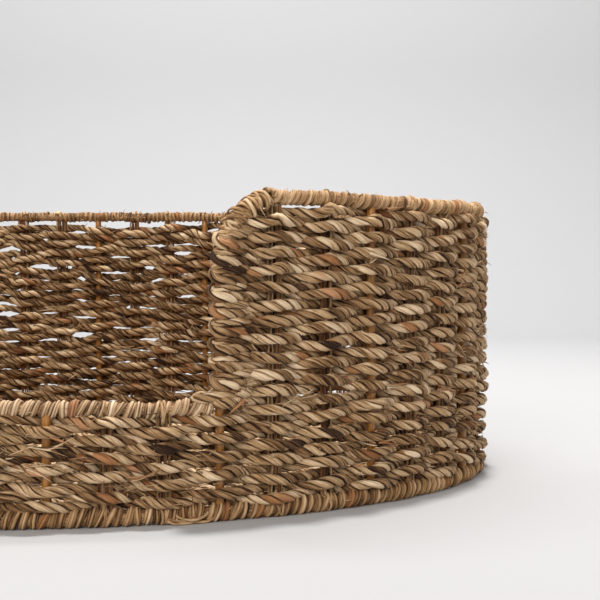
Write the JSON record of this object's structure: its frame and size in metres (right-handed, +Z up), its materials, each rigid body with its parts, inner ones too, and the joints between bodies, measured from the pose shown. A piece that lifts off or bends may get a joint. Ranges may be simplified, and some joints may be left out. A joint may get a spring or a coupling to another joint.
{
  "type": "woven storage basket",
  "caption": "Low oval basket of twisted plant-fibre cord woven round canes, with bound rims and a wide low cut-out in the front wall.",
  "frame": {"origin": "on the floor under the middle of the basket", "axes": "+X along the long axis, -Y towards the cut-away front, +Z up"},
  "size_m": [0.6894, 0.486, 0.2],
  "materials": {
    "seagrass_weave": "dry two-ply twisted seagrass cord, matt, olive-tan with reddish streaks",
    "seagrass_binding": "thin twisted seagrass strand wound tightly, matt",
    "seagrass_binding_pale": "straw-coloured seagrass strand wound tightly, matt",
    "seagrass_mat": "twisted seagrass cord woven flat, matt",
    "rattan_post": "peeled rattan cane, amber, slightly glossy",
    "rattan_core": "peeled rattan cane, brown, satin"
  },
  "bodies": {
    "root": {"base_cane_1": "rattan_core", "base_cane_2": "rattan_core", "base_cane_3": "rattan_core", "base_cane_4": "rattan_core", "base_cane_5": "rattan_core", "base_mat_1": "seagrass_mat", "base_mat_2": "seagrass_mat", "base_mat_3": "seagrass_mat", "base_mat_4": "seagrass_mat", "base_mat_5": "seagrass_mat", "bottom_binding_back": "seagrass_binding", "bottom_binding_front": "seagrass_binding", "bottom_binding_left": "seagrass_binding", "bottom_binding_right": "seagrass_binding", "bottom_hoop_core": "rattan_core", "corner_binding_left": "seagrass_binding", "corner_binding_right": "seagrass_binding", "edge_cane_left": "rattan_post", "edge_cane_right": "rattan_post", "low_rim_binding": "seagrass_binding_pale", "low_rim_core": "rattan_core", "lower_weave_1": "seagrass_weave", "lower_weave_2": "seagrass_weave", "lower_weave_3": "seagrass_weave", "post_01": "rattan_post", "post_03": "rattan_post", "post_04": "rattan_post", "post_05": "rattan_post", "post_06": "rattan_post", "post_07": "rattan_post", "post_08": "rattan_post", "post_09": "rattan_post", "post_10": "rattan_post", "post_11": "rattan_post", "post_12": "rattan_post", "post_13": "rattan_post", "post_14": "rattan_post", "post_15": "rattan_post", "post_17": "rattan_post", "rim_binding_back": "seagrass_binding", "rim_binding_left": "seagrass_binding", "rim_binding_right": "seagrass_binding", "rim_core": "rattan_core", "upper_weave_1": "seagrass_weave", "upper_weave_2": "seagrass_weave", "upper_weave_3": "seagrass_weave", "upper_weave_4": "seagrass_weave", "upper_weave_5": "seagrass_weave"}
  },
  "joints": []
}
